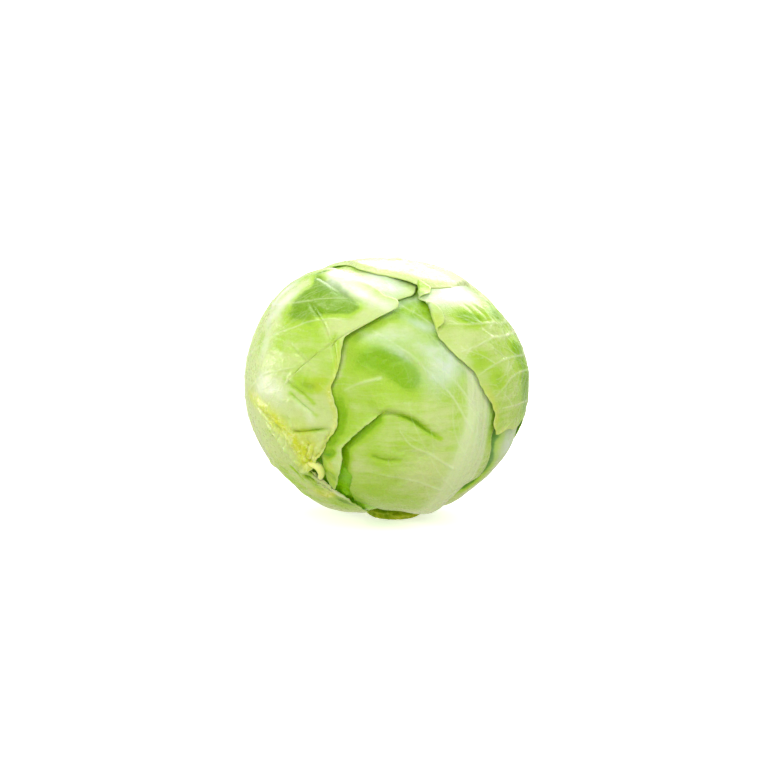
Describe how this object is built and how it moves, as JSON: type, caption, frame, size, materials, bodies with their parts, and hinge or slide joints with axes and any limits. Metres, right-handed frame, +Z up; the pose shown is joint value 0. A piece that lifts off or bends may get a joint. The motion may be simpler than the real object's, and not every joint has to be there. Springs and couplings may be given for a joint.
{
  "type": "cabbage head",
  "caption": "Round green cabbage head of overlapping waxy leaves with pale ribs, standing on its short cut stem.",
  "frame": {"origin": "middle of the stem's flat cut face, on the surface the head stands on", "axes": "+Z up through the stem, -Y the front of the head, +X to its right as seen from the front"},
  "size_m": [0.1799, 0.1788, 0.1644],
  "materials": {
    "leaf_fresh": "waxy green leaf, softly glossy",
    "leaf_pale": "waxy pale green leaf, softly glossy",
    "leaf_deep": "deeper green leaf, softly glossy",
    "stem_cut_green": "dull cut stem, olive and fibrous"
  },
  "bodies": {
    "root": {"stem": "stem_cut_green", "heart": "leaf_deep", "leaf_under_front": "leaf_deep", "leaf_low_right": "leaf_pale", "leaf_front": "leaf_fresh", "leaf_crown": "leaf_pale", "leaf_right": "leaf_fresh", "leaf_low_back_right": "leaf_pale", "leaf_left": "leaf_fresh", "leaf_top": "leaf_pale", "leaf_low_back_left": "leaf_fresh"}
  },
  "joints": []
}
